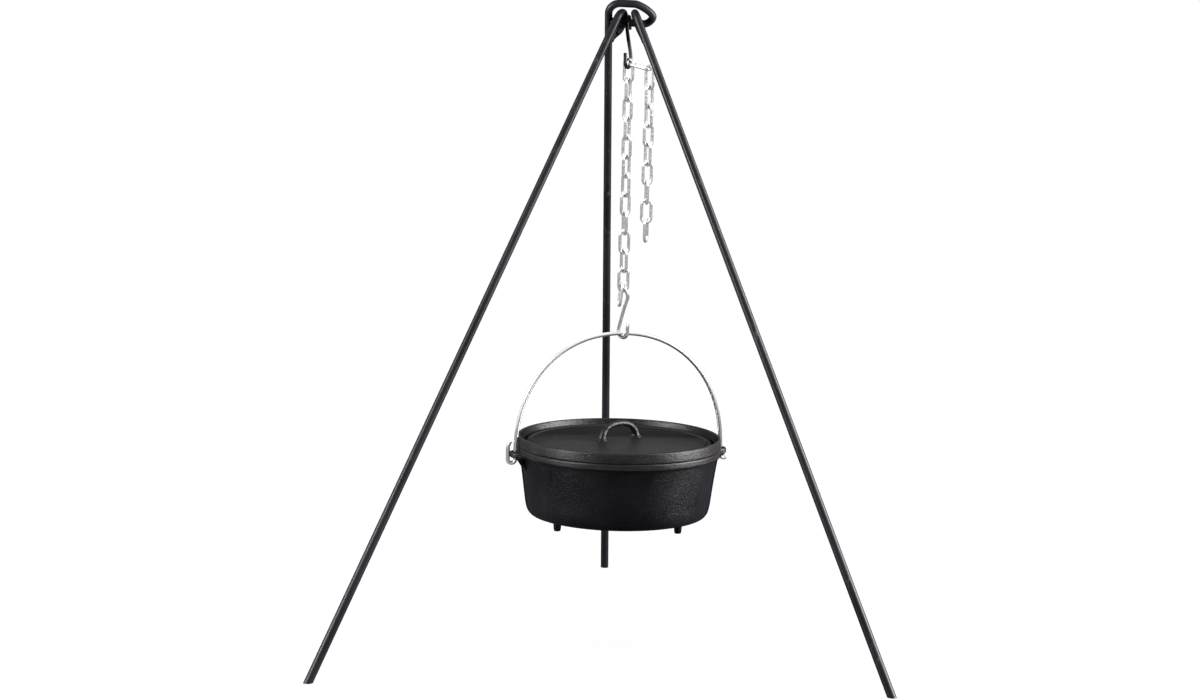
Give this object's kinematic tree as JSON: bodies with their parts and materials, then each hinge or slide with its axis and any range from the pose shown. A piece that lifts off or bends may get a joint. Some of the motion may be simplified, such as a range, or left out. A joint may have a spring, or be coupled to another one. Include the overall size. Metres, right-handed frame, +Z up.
{
  "type": "campfire tripod with hanging oven",
  "caption": "Folding steel-rod campfire tripod with an adjustable chain on hooks, carrying a flanged cast-iron camp oven by its wire bail.",
  "frame": {"origin": "on the ground plane, at the middle of the object's bounding box seen from above", "axes": "+Z up, +X to the right along the bar, +Y to the rear, towards the foot of the leg with the hanging loop"},
  "size_m": [0.8784, 0.8436, 1.0063],
  "materials": {
    "leg_paint": "semi-gloss black paint",
    "hook_paint": "semi-gloss black",
    "chain_zinc": "bright zinc plate",
    "hook_zinc": "bright zinc plate",
    "bail_zinc": "bright zinc-plated wire",
    "body_iron": "seasoned, matte, fine grain",
    "lid_iron": "seasoned, matte, fine grain"
  },
  "bodies": {
    "tripod": {"rear_leg_with_loop": "leg_paint"},
    "left_leg": {"left_leg": "leg_paint"},
    "right_leg": {"right_leg": "leg_paint"},
    "top_hook": {"top_hook": "hook_paint"},
    "chain_link_01": {"chain_link_01": "chain_zinc"},
    "chain_link_02": {"chain_link_02": "chain_zinc"},
    "chain_link_03": {"chain_link_03": "chain_zinc"},
    "chain_link_04": {"chain_link_04": "chain_zinc"},
    "chain_link_05": {"chain_link_05": "chain_zinc"},
    "chain_link_06": {"chain_link_06": "chain_zinc"},
    "chain_link_07": {"chain_link_07": "chain_zinc"},
    "chain_link_08": {"chain_link_08": "chain_zinc"},
    "chain_link_09": {"chain_link_09": "chain_zinc"},
    "chain_link_10": {"chain_link_10": "chain_zinc"},
    "chain_link_11": {"chain_link_11": "chain_zinc"},
    "chain_link_12": {"chain_link_12": "chain_zinc"},
    "chain_link_13": {"chain_link_13": "chain_zinc"},
    "tail_link_01": {"tail_link_01": "chain_zinc"},
    "tail_link_02": {"tail_link_02": "chain_zinc"},
    "tail_link_03": {"tail_link_03": "chain_zinc"},
    "tail_link_04": {"tail_link_04": "chain_zinc"},
    "tail_link_05": {"tail_link_05": "chain_zinc"},
    "tail_link_06": {"tail_link_06": "chain_zinc"},
    "tail_link_07": {"tail_link_07": "chain_zinc"},
    "tail_link_08": {"tail_link_08": "chain_zinc"},
    "tail_link_09": {"tail_link_09": "chain_zinc"},
    "tail_link_10": {"tail_link_10": "chain_zinc"},
    "bottom_hook": {"bottom_hook": "hook_zinc"},
    "bail": {"bail": "bail_zinc"},
    "oven_body": {"oven_body": "body_iron"},
    "oven_lid": {"oven_lid": "lid_iron"}
  },
  "joints": [
    {"name": "left_leg_fold", "type": "hinge", "parent": "tripod", "child": "left_leg", "pos_m": [0.02115, -0.11091, 0.9706], "axis": [1, 0, 0], "range_deg": [0, 10]},
    {"name": "right_leg_fold", "type": "hinge", "parent": "tripod", "child": "right_leg", "pos_m": [0.02115, -0.11091, 0.9706], "axis": [1, 0, 0], "range_deg": [0, 6]},
    {"name": "top_hook_swing", "type": "hinge", "parent": "tripod", "child": "top_hook", "pos_m": [0.02115, -0.11091, 0.9706], "axis": [1, 0, 0], "range_deg": [-6, 10]},
    {"name": "chain_link_01_swing", "type": "hinge", "parent": "top_hook", "child": "chain_link_01", "pos_m": [0.02058, -0.11032, 0.9024], "axis": [-0.5, -0.866, 0], "range_deg": [-1, 4]},
    {"name": "chain_link_02_swing", "type": "hinge", "parent": "chain_link_01", "child": "chain_link_02", "pos_m": [0.02185, -0.11091, 0.8805], "axis": [-0.9063, 0.4226, 0], "range_deg": [-8, 8]},
    {"name": "chain_link_03_swing", "type": "hinge", "parent": "chain_link_02", "child": "chain_link_03", "pos_m": [0.02185, -0.11091, 0.8511], "axis": [-0.4226, -0.9063, 0], "range_deg": [-5, 5]},
    {"name": "chain_link_04_swing", "type": "hinge", "parent": "chain_link_03", "child": "chain_link_04", "pos_m": [0.02185, -0.11091, 0.8217], "axis": [-0.766, 0.6428, 0], "range_deg": [-8, 8]},
    {"name": "chain_link_05_swing", "type": "hinge", "parent": "chain_link_04", "child": "chain_link_05", "pos_m": [0.02185, -0.11091, 0.7923], "axis": [0.4226, 0.9063, 0], "range_deg": [-6, 6]},
    {"name": "chain_link_06_swing", "type": "hinge", "parent": "chain_link_05", "child": "chain_link_06", "pos_m": [0.02185, -0.11091, 0.7629], "axis": [0.766, -0.6428, 0], "range_deg": [-8, 8]},
    {"name": "chain_link_07_swing", "type": "hinge", "parent": "chain_link_06", "child": "chain_link_07", "pos_m": [0.02185, -0.11091, 0.7335], "axis": [-0.6157, -0.788, 0], "range_deg": [-8, 8]},
    {"name": "chain_link_08_swing", "type": "hinge", "parent": "chain_link_07", "child": "chain_link_08", "pos_m": [0.02185, -0.11091, 0.7041], "axis": [-0.6691, 0.7431, 0], "range_deg": [-10, 10]},
    {"name": "chain_link_09_swing", "type": "hinge", "parent": "chain_link_08", "child": "chain_link_09", "pos_m": [0.02185, -0.11091, 0.6747], "axis": [0.829, 0.5592, 0], "range_deg": [-10, 10]},
    {"name": "chain_link_10_swing", "type": "hinge", "parent": "chain_link_09", "child": "chain_link_10", "pos_m": [0.02185, -0.11091, 0.6453], "axis": [0.342, -0.9397, 0], "range_deg": [-10, 10]},
    {"name": "chain_link_11_swing", "type": "hinge", "parent": "chain_link_10", "child": "chain_link_11", "pos_m": [0.02185, -0.11091, 0.6159], "axis": [-0.9397, -0.342, 0], "range_deg": [-10, 10]},
    {"name": "chain_link_12_swing", "type": "hinge", "parent": "chain_link_11", "child": "chain_link_12", "pos_m": [0.02185, -0.11091, 0.5865], "axis": [-0.5299, 0.848, 0], "range_deg": [-10, 10]},
    {"name": "chain_link_13_swing", "type": "hinge", "parent": "chain_link_12", "child": "chain_link_13", "pos_m": [0.01972, -0.11148, 0.5571], "axis": [0.9659, 0.2588, 0], "range_deg": [-6, 6]},
    {"name": "bottom_hook_swing", "type": "hinge", "parent": "chain_link_12", "child": "bottom_hook", "pos_m": [0.02388, -0.11037, 0.5571], "axis": [0.9659, 0.2588, 0], "range_deg": [-5, 5]},
    {"name": "bail_rock", "type": "hinge", "parent": "bottom_hook", "child": "bail", "pos_m": [0.02315, -0.11091, 0.4836], "axis": [0.766, -0.6428, 0], "range_deg": [-8, 8]},
    {"name": "oven_tip", "type": "hinge", "parent": "bail", "child": "oven_body", "pos_m": [0.02115, -0.11091, 0.303], "axis": [0.9659, 0.2588, 0], "range_deg": [-35, 35]},
    {"name": "lid_lift", "type": "slide", "parent": "oven_body", "child": "oven_lid", "axis": [0, 0, 1], "range_m": [0, 0.012]},
    {"name": "tail_link_01_swing", "type": "hinge", "parent": "chain_link_01", "child": "tail_link_01", "pos_m": [0.02375, -0.1118, 0.908], "axis": [0.4226, 0.9063, 0], "range_deg": [-1, 3]},
    {"name": "tail_link_02_swing", "type": "hinge", "parent": "tail_link_01", "child": "tail_link_02", "pos_m": [0.05434, -0.12606, 0.90083], "axis": [-0.4226, -0.9063, 0], "range_deg": [-2, 10]},
    {"name": "tail_link_03_swing", "type": "hinge", "parent": "tail_link_02", "child": "tail_link_03", "pos_m": [0.05434, -0.12606, 0.87173], "axis": [0.766, -0.6428, 0], "range_deg": [-10, 10]},
    {"name": "tail_link_04_swing", "type": "hinge", "parent": "tail_link_03", "child": "tail_link_04", "pos_m": [0.05434, -0.12606, 0.84233], "axis": [-0.6428, -0.766, 0], "range_deg": [-1, 8]},
    {"name": "tail_link_05_swing", "type": "hinge", "parent": "tail_link_04", "child": "tail_link_05", "pos_m": [0.05434, -0.12606, 0.81293], "axis": [-0.5736, 0.8192, 0], "range_deg": [-10, 10]},
    {"name": "tail_link_06_swing", "type": "hinge", "parent": "tail_link_05", "child": "tail_link_06", "pos_m": [0.05434, -0.12606, 0.78353], "axis": [-0.848, -0.5299, 0], "range_deg": [-1, 8]},
    {"name": "tail_link_07_swing", "type": "hinge", "parent": "tail_link_06", "child": "tail_link_07", "pos_m": [0.05434, -0.12606, 0.75413], "axis": [0.5, -0.866, 0], "range_deg": [-10, 10]},
    {"name": "tail_link_08_swing", "type": "hinge", "parent": "tail_link_07", "child": "tail_link_08", "pos_m": [0.05434, -0.12606, 0.72473], "axis": [-0.8829, -0.4695, 0], "range_deg": [-1, 8]},
    {"name": "tail_link_09_swing", "type": "hinge", "parent": "tail_link_08", "child": "tail_link_09", "pos_m": [0.05434, -0.12606, 0.69533], "axis": [-0.1736, 0.9848, 0], "range_deg": [-10, 10]},
    {"name": "tail_link_10_swing", "type": "hinge", "parent": "tail_link_09", "child": "tail_link_10", "pos_m": [0.05434, -0.12606, 0.66593], "axis": [1, 0, 0], "range_deg": [-1, 8]}
  ]
}
